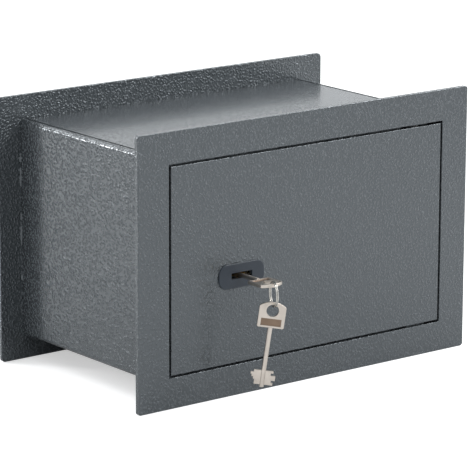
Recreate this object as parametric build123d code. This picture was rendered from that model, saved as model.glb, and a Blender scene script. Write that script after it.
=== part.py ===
from build123d import *
from math import cos, radians, sin
import os

# Small wall safe, built into masonry, with a flush door and a double-bit key lock.
# Millimetres. The origin is the centre of the back plate's rear face. +X is to the right when
# facing the door, +Z is up, and the front of the safe is towards -Y.

# ---- driving dimensions ----
overall_width = 350.0
overall_height = 230.0
overall_depth = 200.0

frame_thickness = 4.0
frame_corner_radius = 2.5
frame_border_left = 31.0
frame_border_right = 28.0
frame_border_top = 27.0
frame_border_bottom = 26.0
plate_edge_radius = 0.5

body_inset_side = 22.0
body_inset_top = 21.0
sheet_thickness = 2.0
bend_radius = 4.0
lip_flat = 0.8
seam_gap = 2.2

back_plate_thickness = 3.0
back_corner_radius = 4.0
weld_leg = 2.0
weld_heights = (0.65, 0.47, 0.11, -0.07, -0.46)
weld_lengths = (9.0, 18.0, 8.0, 18.0, 6.0)
seam_bead_radius = 1.8
seam_bead_length = 12.0
seam_bead_count = 4

door_gap = 2.0
door_thickness = 5.0
stop_clearance = 0.3
stop_overlap = 4.0
stop_foot = 10.0
stop_end_gap = 8.5
hinge_block_gap = 0.5

hinge_inset = 22.0
hinge_pin_gap = 0.5
hinge_pin_radius = 3.0
hinge_pin_length = 28.0
hinge_pin_clearance = 0.08
pin_holder_width = 18.0
pin_holder_height = 24.0
pin_holder_depth = 11.0
hinge_block_size = 20.0
pry_strip_thickness = 3.0
pry_strip_reach = 4.0
pry_strip_width = 15.0
pry_strip_height = 90.0

key_inset_from_edge = 71.2
key_offset_z = -13.7
escutcheon_width = 46.5
escutcheon_height = 20.5
escutcheon_radius = 8.0
escutcheon_thickness = 1.2
keyhole_clearance = 0.55
keyhole_height = 5.2
keyhole_raise = 0.4

hard_plate_width = 64.0
hard_plate_height = 40.0
hard_plate_thickness = 3.0

case_width = 98.0
case_height = 48.0
case_sheet = 1.5
cover_gap = 1.0
pillar_inset = 5.8
pillar_radius = 3.5
stud_radius = 1.95
thread_clearance = 0.05
stud_length = 12.0
screw_head_radius = 3.4
screw_head_height = 1.8
screw_length = 8.0

key_shank_radius = 2.0
key_shank_length = 50.0
key_bow_width = 22.0
key_bow_side = 17.8
key_bow_crown = 3.7
key_bow_thickness = 2.6
key_bow_recess = 0.8
key_hole_radius = 5.1
key_hole_from_top = 7.0
key_rim_width = 1.5
key_rim_height = 0.25
bit_thickness = 2.2
bit_length = 12.0
bit_reach = 10.2
bit_tip_length = 2.0
bit_cuts_right = (2.0, 4.0, 0.0, 0.0, 3.2, 1.6)
bit_cuts_left = (2.4, 0.0, 1.0, 2.4, 3.6, 3.6)
key_bow_margin = 2.6
key_bow_foot_margin = 1.6
key_rim_to_recess = 0.2
key_corner_radius = 1.2
key_edge_radius = 0.4
key_shank_overlap = 0.5
bit_clearance = 4.3

running_clearance = 0.08
free_clearance = 0.3
sweep_clearance = 0.7
rotor_radius = 13.0
rotor_thickness = 2.5
bush_wall = 3.0

bolt_radius = 6.0
bolt_throw = 8.5
bolt_clearance = 0.5
bolt_spread = 90.0
bolt_tip_setback = 0.5
bolt_length = 15.0
bolt_spigot_radius = 3.5
bolt_nut_radius = 6.0
bolt_nut_thickness = 3.5
bolt_guide_inset = 1.0
bolt_guide_sheet = 2.0
bolt_guide_foot = 5.5
bolt_guide_margin = 6.0
carriage_thickness = 3.0
carriage_margin = 2.0
tail_height = 28.0
stump_radius = 2.0
stump_offset = 17.5

lever_count = 5
lever_thickness = 1.0
lever_pitch = 1.15
lever_lift = 3.0
lever_left = 38.0
lever_right = 34.0
lever_height = 34.0
lever_corner_radius = 3.0
gate_pocket_width = 2.0
gate_pocket_depth = 1.0
gate_pocket_step = 0.5
post_radius = 2.0
post_left = 34.0
post_right = 28.0
spring_thickness = 0.3
spring_foot_left = -12.0
spring_bend = -8.0
spring_tip = 10.0

ring_mean_radius = 10.2
ring_wire_radius = 0.55
ring_turn_gap = 0.1
ring_crossing_angle = 30.0
ring_turn_angle = 22.0
ring_hang = 7.4
spare_key_turn = 12.0
spare_key_roll = 8.0

# ---- places worked out from the dimensions ----
front_y = -overall_depth
frame_back_y = front_y + frame_thickness
body_back_y = -back_plate_thickness
body_half_width = overall_width / 2 - body_inset_side
lip_width = bend_radius + lip_flat
body_half_height = overall_height / 2 - body_inset_top
inner_half_width = body_half_width - sheet_thickness
inner_half_height = body_half_height - sheet_thickness
opening_left = -overall_width / 2 + frame_border_left
opening_right = overall_width / 2 - frame_border_right
opening_top = overall_height / 2 - frame_border_top
opening_bottom = -overall_height / 2 + frame_border_bottom
door_left = opening_left + door_gap
door_right = opening_right - door_gap
door_top = opening_top - door_gap
door_bottom = opening_bottom + door_gap
door_back_y = front_y + door_thickness
key_offset_x = door_left + key_inset_from_edge
pivot_x = door_right - hinge_inset
pivot_y = door_back_y + hinge_pin_radius + hinge_pin_gap
stop_y = door_back_y + stop_clearance
keyhole_width = 2 * (bit_reach + keyhole_clearance)
hard_back_y = door_back_y + hard_plate_thickness
case_front_y = hard_back_y + case_sheet
bit_front_y = case_front_y + bit_clearance
bit_back_y = bit_front_y + bit_length
tip_y = bit_back_y + bit_tip_length
cover_front_y = bit_back_y + cover_gap
rotor_back_y = bit_front_y + rotor_thickness
tail_front_y = rotor_back_y + free_clearance
levers_front_y = tail_front_y + carriage_thickness + free_clearance
sweep_radius = bit_reach + sweep_clearance
bolt_y = door_back_y + bolt_radius + bolt_clearance
bolt_tip_x = door_left + bolt_tip_setback
carriage_x = bolt_tip_x + bolt_length
bow_foot_y = tip_y - key_shank_length


def at_lock(u, w):
    """A place on the door plane, measured from the key's axis."""
    return Pos(key_offset_x + u, key_offset_z + w)


def plate(outline, start_y, thickness):
    """A flat piece parallel to the door: the outline is drawn in x and z, from start_y backwards."""
    return extrude(Plane.XZ.offset(-start_y) * outline, thickness, dir=(0, 1, 0))


def box_between(x0, x1, y0, y1, z0, z1):
    """A block given by its six faces."""
    centre = Pos((x0 + x1) / 2, (y0 + y1) / 2, (z0 + z1) / 2)
    return centre * Box(x1 - x0, y1 - y0, z1 - z0)


def rectangle_between(x0, x1, z0, z1):
    """A rectangle given by its four sides."""
    return Pos((x0 + x1) / 2, (z0 + z1) / 2) * Rectangle(x1 - x0, z1 - z0)


def rod_along_x(radius, x0, x1, y, z):
    """A round bar that lies along X."""
    return Pos((x0 + x1) / 2, y, z) * Rot(0, 90, 0) * Cylinder(radius, x1 - x0)


def rod_along_z(radius, x, y, z0, z1):
    """A round bar that stands along Z."""
    return Pos(x, y, (z0 + z1) / 2) * Cylinder(radius, z1 - z0)


def keyhole(clearance):
    """The flat keyhole slot. The key lies a little below its middle."""
    return at_lock(0, keyhole_raise) * Rectangle(keyhole_width + 2 * clearance, keyhole_height + 2 * clearance)


# ---- safe body ----
def make_front_frame():
    """Frame plate with the door opening, its front and outer edges slightly rounded."""
    outline = RectangleRounded(overall_width, overall_height, frame_corner_radius)
    opening = rectangle_between(opening_left, opening_right, opening_bottom, opening_top)
    frame = plate(outline - opening, front_y, frame_thickness)
    front_edges = frame.faces().sort_by(Axis.Y)[0].edges()
    return fillet(front_edges, plate_edge_radius)


def wrapper_profile():
    """The folded sheet's profile, a rounded rectangle whose top is cut away between the lips."""
    outer = RectangleRounded(2 * body_half_width, 2 * body_half_height, bend_radius)
    inner = RectangleRounded(2 * inner_half_width, 2 * inner_half_height, bend_radius - sheet_thickness)
    lip_edge = body_half_width - lip_width
    top_cut = rectangle_between(-lip_edge, lip_edge, 0, body_half_height + 1)
    return outer - inner - top_cut


def make_body_wrapper():
    """Left side, bottom and right side folded from one sheet."""
    return plate(wrapper_profile(), frame_back_y, body_back_y - frame_back_y)


def make_top_panel():
    """Sheet that closes the top between the two lips."""
    half = body_half_width - lip_width - seam_gap
    return box_between(-half, half, frame_back_y, body_back_y, inner_half_height, body_half_height)


def make_top_seam_welds():
    """Short half-round beads under each seam, joining the lip to the top panel."""
    seam_x = body_half_width - lip_width - seam_gap / 2
    length = body_back_y - frame_back_y
    beads = []
    for side in (-1, 1):
        for step in range(seam_bead_count):
            y = frame_back_y + length * (step + 0.5) / seam_bead_count
            bead = Pos(side * seam_x, y, inner_half_height) * Rot(90, 0, 0)
            round_bead = bead * Cylinder(seam_bead_radius, seam_bead_length)
            above = box_between(
                -overall_width, overall_width, -overall_depth, 0, inner_half_height, overall_height)
            beads.append(round_bead - above)
    return Compound(children=beads)


def make_back_plate():
    """Anchor plate behind the body, as large as the front frame."""
    outline = RectangleRounded(overall_width, overall_height, back_corner_radius)
    plate_solid = plate(outline, body_back_y, back_plate_thickness)
    front_edges = plate_solid.faces().sort_by(Axis.Y)[0].edges()
    return fillet(front_edges, plate_edge_radius)


def make_rear_stitch_welds():
    """Quarter-round beads of uneven length between the body's sides and the back plate."""
    beads = []
    for side in (-1, 1):
        for height_share, length in zip(weld_heights, weld_lengths):
            z = height_share * body_half_height
            corner = Pos(side * body_half_width, body_back_y, z)
            bead = corner * Cylinder(weld_leg, length)
            x0, x1 = sorted((side * body_half_width, side * (body_half_width + weld_leg)))
            quarter = box_between(x0, x1, body_back_y - weld_leg, body_back_y, z - length, z + length)
            beads.append(bead & quarter)
    return Compound(children=beads)


def make_door_stop(side):
    """Angle on the ceiling or the floor. Its leg stands behind the door's edge."""
    wall = side * inner_half_height
    edge = door_top if side > 0 else -door_bottom
    leg_end = side * (edge - stop_overlap)
    x0 = -inner_half_width + stop_foot
    x1 = pivot_x - hinge_block_size / 2 - stop_end_gap
    leg = box_between(x0, x1, stop_y, stop_y + sheet_thickness, *sorted((leg_end, wall)))
    foot = box_between(x0, x1, stop_y, stop_y + stop_foot, *sorted((wall - side * sheet_thickness, wall)))
    return leg + foot


def make_hinge_block(side):
    """Block welded to the ceiling or the floor, bored for the hinge pin."""
    edge = door_top if side > 0 else -door_bottom
    z0, z1 = sorted((side * (edge + hinge_block_gap), side * inner_half_height))
    half = hinge_block_size / 2
    block = box_between(pivot_x - half, pivot_x + half, frame_back_y, frame_back_y + hinge_block_size, z0, z1)
    bore = rod_along_z(hinge_pin_radius + hinge_pin_clearance, pivot_x, pivot_y, z0 - 1, z1 + 1)
    return block - bore


# ---- door ----
def make_door_plate():
    """Flush door leaf with the keyhole slot."""
    outline = rectangle_between(door_left, door_right, door_bottom, door_top)
    leaf = plate(outline, front_y, door_thickness)
    front_edges = leaf.faces().sort_by(Axis.Y)[0].edges()
    leaf = fillet(front_edges, plate_edge_radius)
    return leaf - plate(keyhole(0), front_y - 1, door_thickness + 2)


def make_escutcheon():
    """Moulded keyhole plate on the door's face, with a rounded front edge."""
    outline = at_lock(0, keyhole_raise) * RectangleRounded(escutcheon_width, escutcheon_height, escutcheon_radius)
    cover = plate(outline, front_y - escutcheon_thickness, escutcheon_thickness)
    front_edges = cover.faces().sort_by(Axis.Y)[0].edges()
    cover = fillet(front_edges, escutcheon_thickness / 2)
    return cover - plate(keyhole(0), front_y - escutcheon_thickness - 1, escutcheon_thickness + 2)


def pin_ends(side):
    """Lower and upper end of the hinge pin's holder, on the door's back beside the top or bottom edge."""
    edge = door_top if side > 0 else -door_bottom
    return sorted((side * (edge - pin_holder_height), side * edge))


def make_hinge_pin(side):
    """Pin that stands out of its holder into the hinge block."""
    end = side * (inner_half_height - hinge_block_gap)
    z0, z1 = sorted((end, end - side * hinge_pin_length))
    pin = rod_along_z(hinge_pin_radius, pivot_x, pivot_y, z0, z1)
    return chamfer(pin.edges().filter_by(GeomType.CIRCLE), plate_edge_radius)


def make_pin_holder(side):
    """Block welded to the door's back, bored for the pin."""
    z0, z1 = pin_ends(side)
    half = pin_holder_width / 2
    block = box_between(pivot_x - half, pivot_x + half, door_back_y, door_back_y + pin_holder_depth, z0, z1)
    bore = rod_along_z(hinge_pin_radius, pivot_x, pivot_y, z0 - 1, z1 + 1)
    return block - bore


def make_anti_pry_strip():
    """Strip on the door's back that reaches behind the frame on the hinge side."""
    x1 = door_right + pry_strip_reach
    x0 = x1 - pry_strip_width
    half = pry_strip_height / 2
    return box_between(x0, x1, door_back_y, door_back_y + pry_strip_thickness, -half, half)


def make_hard_plate():
    """Drill-resistant plate between the door and the lock."""
    outline = at_lock(0, 0) * Rectangle(hard_plate_width, hard_plate_height)
    return plate(outline - keyhole(free_clearance), door_back_y, hard_plate_thickness)


def corner_places():
    """The four corners of the lock case where studs, pillars and screws go."""
    u = case_width / 2 - pillar_inset
    w = case_height / 2 - pillar_inset
    return [(u, w), (-u, w), (u, -w), (-u, -w)]


def round_plate_set(radius, start_y, length):
    """Four equal round bars, one at each corner of the lock case."""
    return [plate(at_lock(u, w) * Circle(radius), start_y, length) for u, w in corner_places()]


def make_lock_case():
    """Open sheet tray: a front wall with the keyhole, four sides, and a slot for the bolt tail."""
    depth = cover_front_y - hard_back_y
    outer = at_lock(0, 0) * Rectangle(case_width, case_height)
    inner = at_lock(0, 0) * Rectangle(case_width - 2 * case_sheet, case_height - 2 * case_sheet)
    tray = plate(outer, hard_back_y, depth) - plate(inner, case_front_y, depth)
    tray -= plate(keyhole(free_clearance), hard_back_y - 1, case_sheet + 2)
    for hole in round_plate_set(stud_radius + free_clearance, hard_back_y - 1, case_sheet + 2):
        tray -= hole
    left = key_offset_x - case_width / 2
    half_slot = tail_height / 2 + free_clearance
    tray -= box_between(
        left - 1, left + case_sheet + 1,
        tail_front_y - free_clearance, tail_front_y + carriage_thickness + free_clearance,
        key_offset_z - half_slot, key_offset_z + half_slot)
    return tray


def make_lock_cover():
    """Rear cover of the lock case, with a bearing hole for the key's tip."""
    outline = at_lock(0, 0) * Rectangle(case_width, case_height)
    outline -= at_lock(0, 0) * Circle(key_shank_radius + running_clearance)
    for u, w in corner_places():
        outline -= at_lock(u, w) * Circle(stud_radius + free_clearance)
    return plate(outline, cover_front_y, case_sheet)


def make_lock_studs():
    """Studs welded to the door's back, which carry the lock."""
    return Compound(children=round_plate_set(stud_radius, door_back_y, stud_length))


def make_cover_pillars():
    """Threaded pillars that clamp the case to the door and hold the cover."""
    length = cover_front_y - case_front_y
    bodies = round_plate_set(pillar_radius, case_front_y, length)
    bores = round_plate_set(stud_radius + thread_clearance, case_front_y - 1, length + 2)
    return Compound(children=[body - bore for body, bore in zip(bodies, bores)])


def make_cover_screws():
    """Pan-head screws through the cover into the pillars."""
    cover_back = cover_front_y + case_sheet
    shanks = round_plate_set(stud_radius, cover_back - screw_length, screw_length)
    heads = round_plate_set(screw_head_radius, cover_back, screw_head_height)
    slot = Rectangle(2 * screw_head_radius, screw_head_height / 2)
    screws = []
    for place, shank, head in zip(corner_places(), shanks, heads):
        cut = plate(at_lock(*place) * slot, cover_back + screw_head_height / 2, screw_head_height)
        screws.append(shank + head - cut)
    return Compound(children=screws)


def make_rotor_bush():
    """Ring on the case's front wall in which the key rotor turns."""
    shoulder_y = bit_front_y - free_clearance
    outer = at_lock(0, 0) * Circle(rotor_radius + bush_wall)
    bush = plate(outer, case_front_y, rotor_back_y - case_front_y)
    length = rotor_back_y - case_front_y + 2
    bush -= plate(at_lock(0, 0) * Circle(sweep_radius), case_front_y - 1, length)
    bore = at_lock(0, 0) * Circle(rotor_radius + running_clearance)
    return bush - plate(bore, shoulder_y, length)


def make_lever_posts():
    """Two posts riveted to the case, on which the levers slide up and down."""
    length = cover_front_y - case_front_y
    return Compound(children=[
        plate(at_lock(u, 0) * Circle(post_radius), case_front_y, length) for u in (-post_left, post_right)])


def lever_start(index):
    """Front face of a lever, counted from the bolt tail backwards."""
    return levers_front_y + index * lever_pitch


def make_lever_springs():
    """Leaf springs between each lever's top edge and the case's upper wall."""
    foot = lever_height / 2
    top = case_height / 2 - case_sheet
    low = foot + spring_thickness
    line = Polyline((spring_foot_left, low), (spring_bend, low), (spring_tip, top - spring_thickness))
    strip = offset(line, spring_thickness / 2)
    leaf = at_lock(0, 0) * make_face(strip.edges())
    return Compound(children=[plate(leaf, lever_start(i), lever_thickness) for i in range(lever_count)])


def make_bolt_guide():
    """Bracket on the door's back with a round guide hole for each bolt."""
    x0 = door_left + bolt_guide_inset
    margin = bolt_radius + bolt_guide_margin
    z_mid = key_offset_z
    half = bolt_spread / 2
    web = box_between(
        x0, x0 + bolt_guide_sheet, door_back_y, bolt_y + margin, z_mid - half - margin, z_mid + half + margin)
    foot = box_between(
        x0, x0 + bolt_guide_foot, door_back_y, door_back_y + bolt_guide_sheet,
        z_mid - half + margin, z_mid + half - margin)
    bracket = web + foot
    for side in (-1, 1):
        bracket -= rod_along_x(
            bolt_radius + running_clearance, x0 - 1, x0 + bolt_guide_sheet + 1, bolt_y, z_mid + side * half)
    return bracket


# ---- boltwork ----
def bolt_height(side):
    """Height of the upper or lower bolt's axis."""
    return key_offset_z + side * bolt_spread / 2


def make_bolt(side):
    """Round bolt with a domed nose and a thinner spigot through the carriage."""
    bar = rod_along_x(bolt_radius, bolt_tip_x, carriage_x, bolt_y, bolt_height(side))
    nose = bar.faces().sort_by(Axis.X)[0].edges()
    bar = fillet(nose, bolt_radius / 4)
    spigot_end = carriage_x + carriage_thickness + bolt_nut_thickness + free_clearance
    return bar + rod_along_x(bolt_spigot_radius, carriage_x, spigot_end, bolt_y, bolt_height(side))


def make_bolt_nuts():
    """Hexagon nuts that hold the bolts in the carriage."""
    nuts = []
    for side in (-1, 1):
        start = carriage_x + carriage_thickness
        hexagon = RegularPolygon(bolt_nut_radius, 6) - Circle(bolt_spigot_radius)
        face = Plane(origin=(start, bolt_y, bolt_height(side)), z_dir=(1, 0, 0)) * hexagon
        nuts.append(extrude(face, bolt_nut_thickness))
    return Compound(children=nuts)


def make_bolt_carriage():
    """Bar that joins the two bolts, folded into a tail that runs into the lock case."""
    half = bolt_spread / 2 + bolt_radius + carriage_margin
    tail_back_y = tail_front_y + carriage_thickness
    bar = box_between(
        carriage_x, carriage_x + carriage_thickness,
        door_back_y + free_clearance, bolt_y + bolt_radius, key_offset_z - half, key_offset_z + half)
    neck = box_between(
        carriage_x, carriage_x + carriage_thickness,
        bolt_y, tail_back_y, key_offset_z - tail_height / 2, key_offset_z + tail_height / 2)
    tail_end = sweep_radius + bolt_throw + carriage_thickness
    tail = box_between(
        carriage_x, key_offset_x + tail_end,
        tail_front_y, tail_back_y, key_offset_z - tail_height / 2, key_offset_z + tail_height / 2)
    carriage = bar + neck + tail
    for side in (-1, 1):
        carriage -= rod_along_x(
            bolt_spigot_radius, carriage_x - 1, carriage_x + carriage_thickness + 1, bolt_y, bolt_height(side))
    window = at_lock(bolt_throw / 2, 0) * SlotOverall(2 * sweep_radius + bolt_throw, 2 * sweep_radius)
    slot_length = 2 * post_radius + bolt_throw + 2 * free_clearance
    post_slot = at_lock(-post_left + bolt_throw / 2, 0) * SlotOverall(
        slot_length, 2 * (post_radius + free_clearance))
    return carriage - plate(window + post_slot, tail_front_y - 1, carriage_thickness + 2)


def make_bolt_stump():
    """Post on the bolt tail that passes through the gates of the levers."""
    length = cover_front_y - free_clearance - tail_front_y - carriage_thickness
    return plate(at_lock(-stump_offset, 0) * Circle(stump_radius), tail_front_y + carriage_thickness, length)


# ---- lock and keys ----
def make_key_rotor():
    """Disc with a slot that the front of the key's bit fits, turned by the key."""
    slot = Rectangle(2 * (bit_reach + free_clearance), bit_thickness + 2 * free_clearance)
    slot += Circle(key_shank_radius + free_clearance)
    return plate(at_lock(0, 0) * (Circle(rotor_radius) - slot), bit_front_y, rotor_thickness)


def make_lever(index):
    """Brass lever with a window for the key, slots for the posts, and an H-shaped gate."""
    width = lever_left + lever_right
    body = Pos((lever_right - lever_left) / 2, 0) * RectangleRounded(width, lever_height, lever_corner_radius)
    lift_slot = 2 * (post_radius + free_clearance) + lever_lift
    window = Pos(0, -lever_lift / 2) * Rot(0, 0, 90) * SlotOverall(
        2 * sweep_radius + lever_lift, 2 * sweep_radius)
    body -= window
    for u in (-post_left, post_right):
        body -= Pos(u, -lever_lift / 2) * Rot(0, 0, 90) * SlotOverall(
            lift_slot, 2 * (post_radius + free_clearance))
    gate_half = stump_radius + free_clearance
    gate_left = -stump_offset - bolt_throw - gate_half
    gate_right = -stump_offset + gate_half
    body -= rectangle_between(gate_left, gate_right, -lift_slot / 2 - lever_lift / 2, gate_half)
    pocket = gate_pocket_depth + gate_pocket_step * index
    for u0 in (gate_left, gate_right - gate_pocket_width):
        body -= rectangle_between(
            u0, u0 + gate_pocket_width, -lift_slot / 2 - lever_lift / 2 - pocket, gate_half + pocket)
    return plate(at_lock(0, 0) * body, lever_start(index), lever_thickness)


def make_key_solid():
    """Key along +Y in its own frame: the bow lies in x and y, and its foot is at the origin."""
    half = key_bow_width / 2
    arch_top = -(key_bow_side + key_bow_crown)
    side_end = -key_bow_side
    outline = Polyline((-half, side_end), (-half, 0), (half, 0), (half, side_end))
    outline += ThreePointArc((half, side_end), (0, arch_top), (-half, side_end))
    bow_face = make_face(outline)
    bow_face = fillet(bow_face.vertices(), key_corner_radius)
    hole_y = arch_top + key_hole_from_top
    hole = Pos(0, hole_y) * Circle(key_hole_radius)
    bow = Pos(0, 0, -key_bow_thickness / 2) * extrude(bow_face, key_bow_thickness)
    bow = fillet(bow.edges().filter_by(Plane.XY), key_edge_radius)
    rim = Pos(0, hole_y) * Circle(key_hole_radius + key_rim_width)
    rim_thickness = key_bow_thickness + 2 * key_rim_height
    inside_bow = Pos(0, 0, -rim_thickness / 2) * extrude(rim & bow_face, rim_thickness)
    bow += inside_bow
    recess_start = hole_y + key_hole_radius + key_rim_width + key_rim_to_recess
    recess_half = half - key_bow_margin
    recess_face = rectangle_between(-recess_half, recess_half, recess_start, -key_bow_foot_margin)
    for side in (-1, 1):
        floor_z = side * (key_bow_thickness / 2 - key_bow_recess / 2)
        bow -= Pos(0, 0, floor_z - key_bow_recess / 2) * extrude(recess_face, key_bow_recess)
    bow -= Pos(0, 0, -rim_thickness) * extrude(hole, 2 * rim_thickness)
    shank_middle = (key_shank_length - key_shank_overlap) / 2
    shank = Pos(0, shank_middle, 0) * Rot(90, 0, 0) * Cylinder(
        key_shank_radius, key_shank_length + key_shank_overlap)
    shank = chamfer(shank.edges().sort_by(Axis.Y)[-1], key_edge_radius)
    key = bow + shank
    step = bit_length / len(bit_cuts_right)
    bit_start = key_shank_length - bit_tip_length - bit_length
    half_bit = bit_thickness / 2
    for index, (right_cut, left_cut) in enumerate(zip(bit_cuts_right, bit_cuts_left)):
        y0 = bit_start + index * step
        key += box_between(
            left_cut - bit_reach, bit_reach - right_cut, y0, y0 + step, -half_bit, half_bit)
    return key


def make_key():
    """Key in the lock, its bow lying flat."""
    return Pos(key_offset_x, bow_foot_y, key_offset_z) * make_key_solid()


def ring_strip():
    """Middle of the strip of the bow, between the hole and the arched end, that the ring goes round."""
    bow_length = key_bow_side + key_bow_crown
    strip_width = key_hole_from_top - key_hole_radius
    return Vector(key_offset_x, bow_foot_y - bow_length + strip_width / 2, key_offset_z)


def ring_plane():
    """Plane of the ring: upright, turned about the vertical, its centre below the bow's strip."""
    normal = Vector(cos(radians(ring_turn_angle)), -sin(radians(ring_turn_angle)), 0)
    return Plane(origin=ring_strip() - Vector(0, 0, ring_hang), x_dir=(0, 0, 1), z_dir=normal)


def make_key_ring():
    """Split ring: two flat turns side by side, joined by a short slanting stretch between their ends."""
    step = 2 * ring_wire_radius + ring_turn_gap
    turn = 360 - ring_crossing_angle
    first = CenterArc((0, 0), ring_mean_radius, 0, turn)
    second = Pos(0, 0, step) * first
    crossing = Spline(
        first @ 1, second @ 0, tangents=(first % 1, second % 0))
    path = Wire([first, crossing, second])
    section = Plane(origin=first @ 0, z_dir=first % 0) * Circle(ring_wire_radius)
    coil = sweep(section, path)
    return ring_plane() * Pos(0, 0, -step / 2) * coil


def make_spare_key():
    """Second key, hanging from the bottom of the ring, turned and leaning a little."""
    frame = ring_plane()
    ring_bottom = frame.origin - Vector(0, 0, ring_mean_radius)
    strip_width = key_hole_from_top - key_hole_radius
    strip = ring_bottom + Vector(0, 0, ring_mean_radius - ring_hang)
    lateral = frame.z_dir.rotate(Axis.Z, -spare_key_turn)
    face_normal = lateral.cross(Vector(0, 0, -1))
    hanging = Plane(origin=strip, x_dir=lateral, z_dir=face_normal)
    to_strip = key_bow_side + key_bow_crown - strip_width / 2
    return hanging * Rot(0, 0, spare_key_roll) * Pos(0, to_strip, 0) * make_key_solid()


pieces = {
    "front_frame": make_front_frame(),
    "body_wrapper": make_body_wrapper(),
    "top_panel": make_top_panel(),
    "top_seam_welds": make_top_seam_welds(),
    "back_plate": make_back_plate(),
    "rear_stitch_welds": make_rear_stitch_welds(),
    "door_stop_top": make_door_stop(1),
    "door_stop_bottom": make_door_stop(-1),
    "hinge_block_upper": make_hinge_block(1),
    "hinge_block_lower": make_hinge_block(-1),
    "door_plate": make_door_plate(),
    "escutcheon": make_escutcheon(),
    "hinge_pin_upper": make_hinge_pin(1),
    "hinge_pin_lower": make_hinge_pin(-1),
    "pin_holder_upper": make_pin_holder(1),
    "pin_holder_lower": make_pin_holder(-1),
    "anti_pry_strip": make_anti_pry_strip(),
    "hard_plate": make_hard_plate(),
    "lock_case": make_lock_case(),
    "lock_cover": make_lock_cover(),
    "lock_studs": make_lock_studs(),
    "cover_pillars": make_cover_pillars(),
    "cover_screws": make_cover_screws(),
    "rotor_bush": make_rotor_bush(),
    "lever_posts": make_lever_posts(),
    "lever_springs": make_lever_springs(),
    "bolt_guide": make_bolt_guide(),
    "bolt_carriage": make_bolt_carriage(),
    "bolt_upper": make_bolt(1),
    "bolt_lower": make_bolt(-1),
    "bolt_nuts": make_bolt_nuts(),
    "bolt_stump": make_bolt_stump(),
    "key_rotor": make_key_rotor(),
    "key": make_key(),
    "key_ring": make_key_ring(),
    "spare_key": make_spare_key(),
}
for lever_index in range(lever_count):
    pieces[f"lever_{lever_index + 1}"] = make_lever(lever_index)

os.makedirs("parts", exist_ok=True)
for name, piece in pieces.items():
    export_step(piece, f"parts/{name}.step")
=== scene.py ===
import math
import bpy
import bmesh
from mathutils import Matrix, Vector


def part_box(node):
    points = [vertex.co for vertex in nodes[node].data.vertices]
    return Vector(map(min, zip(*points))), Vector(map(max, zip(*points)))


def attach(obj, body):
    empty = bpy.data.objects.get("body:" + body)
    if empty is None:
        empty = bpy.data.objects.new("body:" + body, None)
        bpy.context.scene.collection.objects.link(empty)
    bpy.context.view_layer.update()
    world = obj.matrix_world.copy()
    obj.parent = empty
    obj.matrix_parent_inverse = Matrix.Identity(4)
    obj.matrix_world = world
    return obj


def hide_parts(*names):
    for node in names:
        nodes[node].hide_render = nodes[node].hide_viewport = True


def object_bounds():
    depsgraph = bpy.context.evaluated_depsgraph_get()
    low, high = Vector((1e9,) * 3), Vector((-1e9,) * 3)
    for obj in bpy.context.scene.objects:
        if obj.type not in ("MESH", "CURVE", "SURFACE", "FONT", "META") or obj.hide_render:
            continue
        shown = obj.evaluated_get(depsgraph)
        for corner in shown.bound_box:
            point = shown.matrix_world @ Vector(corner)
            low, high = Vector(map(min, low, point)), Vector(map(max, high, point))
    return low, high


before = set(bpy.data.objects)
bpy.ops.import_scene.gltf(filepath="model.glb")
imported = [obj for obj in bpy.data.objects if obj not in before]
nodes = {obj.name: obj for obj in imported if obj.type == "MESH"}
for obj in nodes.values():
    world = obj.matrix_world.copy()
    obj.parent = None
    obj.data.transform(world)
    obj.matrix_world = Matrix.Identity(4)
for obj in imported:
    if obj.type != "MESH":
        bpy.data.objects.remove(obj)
cad_bounds = [list(corner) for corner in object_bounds()]


# ---- Painted steel: frame, body, back plate, door and the brackets welded to them ----
# Cut and folded mild steel plate and sheet. It is sprayed with dark grey structure powder, which
# shrinks into small raised beads as it bakes and leaves narrow valleys between them.
def new_group(name, inputs, outputs):
    """An empty shader group whose sockets are (name, kind, default value)."""
    group = bpy.data.node_groups.new(name, "ShaderNodeTree")
    for label, kind, value in inputs:
        socket = group.interface.new_socket(label, in_out="INPUT", socket_type=kind)
        socket.default_value = value
    for label, kind in outputs:
        group.interface.new_socket(label, in_out="OUTPUT", socket_type=kind)
    return group


def add(tree, kind, values=None, **settings):
    """A node with its settings and the fixed values of its inputs."""
    node = tree.nodes.new(kind)
    for label, value in settings.items():
        setattr(node, label, value)
    for label, value in (values or {}).items():
        node.inputs[label].default_value = value
    return node


def join(tree, pairs):
    """Links (node, output, node, input) one after another."""
    for source, output, target, socket in pairs:
        tree.links.new(source.outputs[output], target.inputs[socket])


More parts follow.
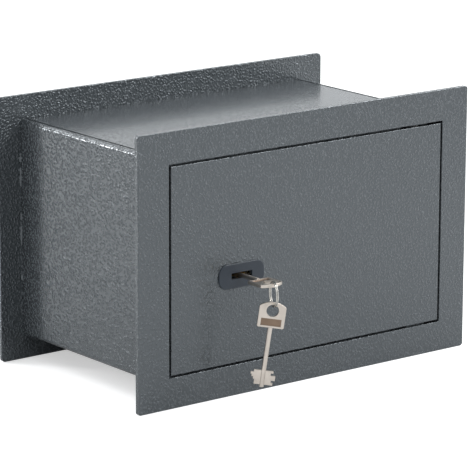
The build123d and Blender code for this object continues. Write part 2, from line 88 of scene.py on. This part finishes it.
def make_bead_grain():
    """Raised beads of baked structure powder: their height, and a mask that is 1 on top of a bead."""
    group = new_group(
        "bead_grain",
        [("Bead Size", "NodeSocketFloat", 0.002), ("Waviness", "NodeSocketFloat", 0.35)],
        [("Height", "NodeSocketFloat"), ("Bead Top", "NodeSocketFloat"), ("Patch", "NodeSocketFloat")])
    start = add(group, "NodeGroupInput")
    end = add(group, "NodeGroupOutput")
    place = add(group, "ShaderNodeTexCoord")
    frequency = add(group, "ShaderNodeMath", {0: 1.0}, operation="DIVIDE")
    scaled = add(group, "ShaderNodeVectorMath", operation="SCALE")
    drift = add(group, "ShaderNodeTexNoise", {"Scale": 0.9, "Detail": 2.0, "Roughness": 0.6})
    centred = add(group, "ShaderNodeVectorMath", {1: (0.5, 0.5, 0.5)}, operation="SUBTRACT")
    pushed = add(group, "ShaderNodeVectorMath", operation="SCALE")
    moved = add(group, "ShaderNodeVectorMath", operation="ADD")
    beads = add(group, "ShaderNodeTexVoronoi", {"Scale": 1.0, "Smoothness": 0.45, "Randomness": 1.0},
                feature="SMOOTH_F1")
    dome = add(group, "ShaderNodeMapRange", {"From Min": 0.62, "From Max": 0.12},
               interpolation_type="SMOOTHSTEP")
    fine = add(group, "ShaderNodeTexNoise", {"Scale": 2.6, "Detail": 3.0, "Roughness": 0.55})
    rough_part = add(group, "ShaderNodeMath", {1: 0.10}, operation="MULTIPLY")
    height = add(group, "ShaderNodeMath", operation="ADD")
    patch = add(group, "ShaderNodeTexNoise", {"Scale": 0.11, "Detail": 3.0, "Roughness": 0.5})
    join(group, [
        (start, "Bead Size", frequency, 1),
        (place, "Object", scaled, 0),
        (frequency, 0, scaled, "Scale"),
        (scaled, 0, drift, "Vector"),
        (drift, "Color", centred, 0),
        (centred, 0, pushed, 0),
        (start, "Waviness", pushed, "Scale"),
        (scaled, 0, moved, 0),
        (pushed, 0, moved, 1),
        (moved, 0, beads, "Vector"),
        (beads, "Distance", dome, "Value"),
        (scaled, 0, fine, "Vector"),
        (fine, "Fac", rough_part, 0),
        (dome, "Result", height, 0),
        (rough_part, 0, height, 1),
        (scaled, 0, patch, "Vector"),
        (height, 0, end, "Height"),
        (dome, "Result", end, "Bead Top"),
        (patch, "Fac", end, "Patch"),
    ])
    return group


bead_grain = make_bead_grain()


def new_material(name, **values):
    """A material and its Principled BSDF, with the values that are the same all over."""
    material = bpy.data.materials.new(name)
    material.use_nodes = True
    shader = material.node_tree.nodes["Principled BSDF"]
    for label, value in values.items():
        shader.inputs[label.replace("_", " ")].default_value = value
    return material, material.node_tree, shader


def place_group(tree, group, **values):
    """A shader group set into a material with its own values."""
    node = add(tree, "ShaderNodeGroup", node_tree=group)
    for label, value in values.items():
        node.inputs[label.replace("_", " ")].default_value = value
    return node


def two_tone(tree, shader, mask, low, high, socket):
    """Blends a colour over the surface from low to high by the mask."""
    mix = add(tree, "ShaderNodeMix", data_type="RGBA")
    mix.inputs["A"].default_value = (*low, 1.0)
    mix.inputs["B"].default_value = (*high, 1.0)
    tree.links.new(mask, mix.inputs["Factor"])
    tree.links.new(mix.outputs["Result"], shader.inputs[socket])


def ranged(tree, source, low, high, target):
    """Feeds a 0 to 1 value into a socket as a value from low to high."""
    spread = add(tree, "ShaderNodeMapRange", {"To Min": low, "To Max": high})
    tree.links.new(source, spread.inputs["Value"])
    tree.links.new(spread.outputs["Result"], target)


def raise_surface(tree, shader, height, depth):
    """Bumps the surface by a height that is depth metres from 0 to 1."""
    bump = add(tree, "ShaderNodeBump", {"Strength": 1.0, "Distance": depth})
    tree.links.new(height, bump.inputs["Height"])
    tree.links.new(bump.outputs["Normal"], shader.inputs["Normal"])


def make_structure_paint(name, gloss, bead_height, smoothest, roughest):
    """Dark grey structure powder with painted shade in the valleys, and a film of some gloss on top."""
    material, tree, shader = new_material(
        name, IOR=1.75, Specular_Tint=(0.86, 0.94, 1.0, 1.0), Coat_Weight=gloss, Coat_IOR=1.5,
        Coat_Roughness=0.12)
    grain = place_group(tree, bead_grain, Bead_Size=0.0021, Waviness=0.9)
    # The darker colour in the valleys between the beads is painted shade.
    valley_painted_shade = (0.031, 0.035, 0.038)
    bead = (0.043, 0.049, 0.054)
    two_tone(tree, shader, grain.outputs["Bead Top"], valley_painted_shade, bead, "Base Color")
    ranged(tree, grain.outputs["Patch"], smoothest, roughest, shader.inputs["Roughness"])
    raise_surface(tree, shader, grain.outputs["Height"], bead_height)
    return material


structure_paint = make_structure_paint("structure_paint", 0.12, 0.00042, 0.14, 0.24)
body_paint = make_structure_paint("body_paint", 0.12, 0.0006, 0.12, 0.22)
level_paint = make_structure_paint("level_paint", 0.25, 0.00012, 0.15, 0.24)


def coat(material, *names):
    """Gives a finish to CAD pieces."""
    for name in names:
        slots = nodes[name].data.materials
        slots.clear()
        slots.append(material)


coat(structure_paint, "front_frame", "door_stop_top", "door_stop_bottom", "hinge_block_upper",
     "hinge_block_lower", "door_plate", "pin_holder_upper", "pin_holder_lower", "anti_pry_strip")
# The coat is coarser on the body and the back plate, where the beads stand higher.
coat(body_paint, "body_wrapper", "back_plate")
# The top sheet is smoother than the rest: its beads are flat and its film is glossier.
coat(level_paint, "top_panel")


# ---- Weld beads: body to back plate, and under the two seams of the top ----
# Short runs of arc weld under the paint. Each is a row of overlapping ripples, a little uneven,
# where the welder's hand moved on.
def loose_boxes(name):
    """Lowest and highest corner of each separate solid of a CAD node."""
    shape = bmesh.new()
    shape.from_mesh(nodes[name].data)
    bmesh.ops.remove_doubles(shape, verts=shape.verts, dist=1e-6)
    waiting = set(shape.verts)
    boxes = []
    while waiting:
        reached = [waiting.pop()]
        for vertex in reached:
            for edge in vertex.link_edges:
                other = edge.other_vert(vertex)
                if other in waiting:
                    waiting.remove(other)
                    reached.append(other)
        places = [vertex.co.copy() for vertex in reached]
        low = Vector([min(place[axis] for place in places) for axis in range(3)])
        high = Vector([max(place[axis] for place in places) for axis in range(3)])
        boxes.append((low, high))
    shape.free()
    return sorted(boxes, key=lambda box: tuple(box[0]))


def new_piece(name, body, material):
    """An empty mesh piece that rides on a body, with its finish."""
    mesh = bpy.data.meshes.new(name)
    piece = bpy.data.objects.new(name, mesh)
    bpy.context.scene.collection.objects.link(piece)
    mesh.materials.append(material)
    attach(piece, body)
    return piece


def add_bead(shape, box, across, start_angle, end_angle, along):
    """A rippled bead that fills a box. Its section is part of a round about the middle of across."""
    ripple_pitch = 0.0016
    rings_per_ripple = 6
    fewest_rings = 8
    facets = 10
    box_fill = 0.94
    ripple_depth = 0.10
    unevenness = 0.05
    uneven_turns = 9.0
    uneven_shift = 400
    end_sharpness = 6
    end_share = 0.05
    low, high = box
    length = high[along] - low[along]
    rings = max(fewest_rings, round(length / ripple_pitch * rings_per_ripple))
    first, second = [axis for axis in range(3) if axis != along]
    radius = (high[second] - low[second]) * box_fill
    rows = []
    for ring in range(rings + 1):
        run = ring / rings
        taper = math.sqrt(max(0.0, 1 - abs(2 * run - 1) ** end_sharpness))
        ripple = 1 - ripple_depth * abs(math.sin(math.pi * run * length / ripple_pitch))
        uneven = 1 - unevenness * (1 + math.sin(run * uneven_turns + low[along] * uneven_shift))
        reach = radius * ripple * uneven * max(taper, end_share)
        place = [0.0, 0.0, 0.0]
        place[along] = low[along] + length * run
        row = []
        for facet in range(facets + 1):
            angle = start_angle + (end_angle - start_angle) * facet / facets
            place[first] = across[0] + reach * math.cos(angle)
            place[second] = across[1] + reach * math.sin(angle)
            row.append(shape.verts.new(place))
        place[first], place[second] = across
        row.append(shape.verts.new(place))
        rows.append(row)
    for row, following in zip(rows, rows[1:]):
        for index in range(len(row)):
            step = (index + 1) % len(row)
            shape.faces.new((row[index], row[step], following[step], following[index]))
    shape.faces.new(rows[0])
    shape.faces.new(list(reversed(rows[-1])))


def weld_piece(name, node, body, paint, section):
    """Replaces a CAD node of plain beads by rippled ones of the same places and sizes."""
    piece = new_piece(name, body, paint)
    shape = bmesh.new()
    for box in loose_boxes(node):
        section(shape, box)
    bmesh.ops.recalc_face_normals(shape, faces=shape.faces)
    shape.to_mesh(piece.data)
    shape.free()
    for face in piece.data.polygons:
        face.use_smooth = len(face.vertices) == 4
    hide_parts(node)


def corner_section(shape, box):
    """Quarter round in the corner of a side wall and the back plate."""
    low, high = box
    on_right = low.x > 0
    corner = (low.x if on_right else high.x, high.y)
    angles = (-math.pi / 2, 0) if on_right else (math.pi, math.pi * 1.5)
    add_bead(shape, box, corner, *angles, along=2)


def under_section(shape, box):
    """Half round that hangs under a seam."""
    low, high = box
    add_bead(shape, box, ((low.x + high.x) / 2, high.z), math.pi, 2 * math.pi, along=1)


weld_piece("rear_weld_beads", "rear_stitch_welds", "body", structure_paint, corner_section)
weld_piece("seam_weld_beads", "top_seam_welds", "body", structure_paint, under_section)


# ---- Keyhole plate ----
# A small moulded plastic plate stuck over the keyhole. It is dark blue-grey with a fine eroded
# texture from its mould.
def make_fine_grain():
    """Fine even grain of eroded moulds, castings and rolled sheet."""
    group = new_group(
        "fine_grain",
        [("Grain Size", "NodeSocketFloat", 0.0004), ("Stretch", "NodeSocketVector", (1.0, 1.0, 1.0))],
        [("Height", "NodeSocketFloat"), ("Cloud", "NodeSocketFloat")])
    start = add(group, "NodeGroupInput")
    end = add(group, "NodeGroupOutput")
    place = add(group, "ShaderNodeTexCoord")
    frequency = add(group, "ShaderNodeMath", {0: 1.0}, operation="DIVIDE")
    scaled = add(group, "ShaderNodeVectorMath", operation="SCALE")
    stretched = add(group, "ShaderNodeVectorMath", operation="MULTIPLY")
    fine = add(group, "ShaderNodeTexNoise", {"Scale": 1.0, "Detail": 3.0, "Roughness": 0.6})
    cloud = add(group, "ShaderNodeTexNoise", {"Scale": 0.06, "Detail": 2.0, "Roughness": 0.5})
    join(group, [
        (start, "Grain Size", frequency, 1),
        (place, "Object", scaled, 0),
        (frequency, 0, scaled, "Scale"),
        (scaled, 0, stretched, 0),
        (start, "Stretch", stretched, 1),
        (stretched, 0, fine, "Vector"),
        (stretched, 0, cloud, "Vector"),
        (fine, "Fac", end, "Height"),
        (cloud, "Fac", end, "Cloud"),
    ])
    return group


fine_grain = make_fine_grain()


def make_grained(name, grain, tones, roughness, depth, **values):
    """A finely grained material: its group values, two colours, two roughnesses and bump depth."""
    material, tree, shader = new_material(name, **values)
    group = place_group(tree, fine_grain, **grain)
    two_tone(tree, shader, group.outputs["Cloud"], *tones, "Base Color")
    ranged(tree, group.outputs["Height"], *roughness, shader.inputs["Roughness"])
    raise_surface(tree, shader, group.outputs["Height"], depth)
    return material


moulded_plastic = make_grained(
    "moulded_plastic", {"Grain_Size": 0.00035}, [(0.012, 0.018, 0.027), (0.017, 0.025, 0.036)],
    (0.38, 0.52), 0.00003, IOR=1.46)
coat(moulded_plastic, "escutcheon")


# ---- Keys ----
# Two equal double-bit keys, cast in zinc alloy and nickel plated. The casting skin stays slightly
# grainy under the plating; the bow and the shank are lighter than the sunken panel, which is in painted
# shade.
plated_casting = make_grained(
    "plated_casting", {"Grain_Size": 0.0006}, [(0.45, 0.405, 0.36), (0.62, 0.565, 0.51)],
    (0.22, 0.42), 0.00005, Metallic=1.0)
# Painted shade and a painted reflection of the dark door: darker and browner in the sunken panel of the
# bow.
recess_painted_shade = make_grained(
    "recess_painted_shade", {"Grain_Size": 0.0005}, [(0.16, 0.115, 0.085), (0.26, 0.19, 0.14)],
    (0.38, 0.55), 0.00006, Metallic=1.0)


def cast_key(name, node, body):
    """A key with the CAD key's shape, its edges rounded as a casting's are, and its sunken panel in
    painted shade.
    """
    edge_radius = 0.00022
    sharpest_kept = math.radians(40)
    panel_depth = 0.0009
    panel_area = 0.00004
    piece = bpy.data.objects.new(name, nodes[node].data.copy())
    bpy.context.scene.collection.objects.link(piece)
    piece.data.materials.clear()
    piece.data.materials.append(plated_casting)
    piece.data.materials.append(recess_painted_shade)
    shape = bmesh.new()
    shape.from_mesh(piece.data)
    bmesh.ops.remove_doubles(shape, verts=shape.verts, dist=1e-6)
    bmesh.ops.dissolve_limit(shape, angle_limit=math.radians(1), verts=shape.verts, edges=shape.edges)
    widest = max(shape.faces, key=lambda face: face.calc_area())
    normal = widest.normal.copy()
    level = [face for face in shape.faces if abs(face.normal.dot(normal)) > 0.999]
    heights = [face.calc_center_median().dot(normal) for face in level]
    middle = (min(heights) + max(heights)) / 2
    half_thickness = (max(heights) - min(heights)) / 2
    for face in shape.faces:
        face.smooth = True
        face.material_index = 0
    # Faces of the sunken panel take the second material: painted shade and painted reflection.
    for face, height in zip(level, heights):
        depth = half_thickness - abs(height - middle)
        if depth > panel_depth and face.calc_area() > panel_area:
            face.material_index = 1
    sharp = [edge for edge in shape.edges
             if len(edge.link_faces) == 2 and edge.calc_face_angle() > sharpest_kept]
    bmesh.ops.bevel(shape, geom=sharp, offset=edge_radius, segments=2, profile=0.6, affect="EDGES",
                    clamp_overlap=True, material=0)
    shape.to_mesh(piece.data)
    shape.free()
    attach(piece, body)
    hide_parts(node)


cast_key("key_casting", "key", "key")
cast_key("spare_key_casting", "spare_key", "spare_key")


# ---- Key ring ----
# Spring steel wire wound in two turns and nickel plated. It hangs in the hole of the key's bow
# and carries the second key.
ring_wire = make_grained(
    "ring_wire", {"Grain_Size": 0.0003}, [(0.42, 0.41, 0.38), (0.58, 0.56, 0.53)],
    (0.12, 0.25), 0.00001, Metallic=1.0)
coat(ring_wire, "key_ring")


# ---- Lock case, cover, bolt guide and bolt carriage ----
# Folded and cut sheet steel, zinc plated and fixed to the door's back. The plating is slightly
# cloudy, with a faint yellow tone.
zinc_sheet = make_grained(
    "zinc_sheet", {"Grain_Size": 0.0012}, [(0.52, 0.52, 0.47), (0.66, 0.66, 0.63)],
    (0.28, 0.48), 0.00003, Metallic=1.0)
coat(zinc_sheet, "lock_case", "lock_cover", "bolt_guide", "bolt_carriage")


# ---- Bolts, pins, studs and screws ----
# Turned steel, left bright and lightly oiled, with a fine grain drawn out one way. The springs
# and the hard plate are bright steel too.
turned_steel = make_grained(
    "turned_steel", {"Grain_Size": 0.0004, "Stretch": (1.0, 0.15, 0.15)},
    [(0.46, 0.46, 0.45), (0.60, 0.60, 0.59)], (0.18, 0.36), 0.00002, Metallic=1.0)
coat(turned_steel, "bolt_upper", "bolt_lower", "bolt_nuts", "bolt_stump", "hinge_pin_upper",
     "hinge_pin_lower", "lock_studs", "cover_pillars", "cover_screws", "lever_posts", "lever_springs",
     "hard_plate")


# ---- Levers, key rotor and its bush ----
# Brass, stamped for the levers and turned for the rotor and the bush. It sits inside the lock
# case and is a little dull.
lock_brass = make_grained(
    "lock_brass", {"Grain_Size": 0.0007}, [(0.60, 0.42, 0.17), (0.76, 0.56, 0.26)],
    (0.25, 0.42), 0.00002, Metallic=1.0)
coat(lock_brass, "lever_1", "lever_2", "lever_3", "lever_4", "lever_5", "key_rotor", "rotor_bush")


# ---- Studio: floor, lights and camera ----
# A pale seamless floor under the safe, four area lights above it on all sides, and a long lens
# a little above the safe and to its left.
def make_floor():
    """Pale matt floor under the lower edges of the two plates."""
    mesh = bpy.data.meshes.new("floor")
    reach = 40.0
    gap = 0.0002
    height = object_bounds()[0][2] - gap
    corners = [(-reach, -reach, height), (reach, -reach, height), (reach, reach, height),
               (-reach, reach, height)]
    mesh.from_pydata(corners, [], [(0, 1, 2, 3)])
    floor = bpy.data.objects.new("floor", mesh)
    bpy.context.scene.collection.objects.link(floor)
    material, tree, shader = new_material("pale_floor", Roughness=0.9)
    shader.inputs["Base Color"].default_value = (0.66, 0.66, 0.66, 1.0)
    shader.inputs["Specular IOR Level"].default_value = 0.0
    shader.inputs["Emission Color"].default_value = (1.0, 1.0, 1.0, 1.0)
    seen = add(tree, "ShaderNodeLightPath")
    lift = add(tree, "ShaderNodeMath", {1: 0.5}, operation="MULTIPLY")
    join(tree, [(seen, "Is Camera Ray", lift, 0), (lift, 0, shader, "Emission Strength")])
    mesh.materials.append(material)


make_floor()


def add_light(name, place, aim, size, power):
    """A square soft light that points at a place."""
    light = bpy.data.lights.new(name, "AREA")
    light.size = size
    light.energy = power
    lamp = bpy.data.objects.new(name, light)
    lamp.location = place
    lamp.rotation_euler = (Vector(aim) - Vector(place)).to_track_quat("-Z", "Y").to_euler()
    bpy.context.scene.collection.objects.link(lamp)


low, high = (Vector(corner) for corner in cad_bounds)
middle = (low + high) / 2
add_light("rear_light", (-0.6, 0.9, 1.15), middle, 1.3, 16)
add_light("side_light", (-1.15, 1.2, 0.5), middle, 0.25, 9)
add_light("front_light", (0.85, -1.05, 1.05), middle, 0.7, 8)
add_light("top_light", (0.95, -0.35, 1.19), middle, 0.5, 14)

world = bpy.data.worlds.new("studio")
world.use_nodes = True
background = world.node_tree.nodes["Background"]
background.inputs["Color"].default_value = (0.955, 0.98, 1.0, 1.0)
background.inputs["Strength"].default_value = 1.05
bpy.context.scene.world = world
bpy.context.scene.view_settings.view_transform = "Standard"

camera_data = bpy.data.cameras.new("camera")
camera_data.lens = 238.4
camera_data.clip_end = 200.0
camera = bpy.data.objects.new("camera", camera_data)
aim = Vector((-0.0796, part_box("front_frame")[0].y, 0.0212))
distance = 2.5296
turn = math.radians(-38.02)
tilt = math.radians(-13.65)
roll = math.radians(-0.18)
view_line = Vector((-math.sin(turn) * math.cos(tilt), math.cos(turn) * math.cos(tilt), math.sin(tilt)))
camera.location = aim - view_line * distance
camera.rotation_euler = (math.pi / 2 + tilt, roll, turn)
bpy.context.scene.collection.objects.link(camera)
bpy.context.scene.camera = camera
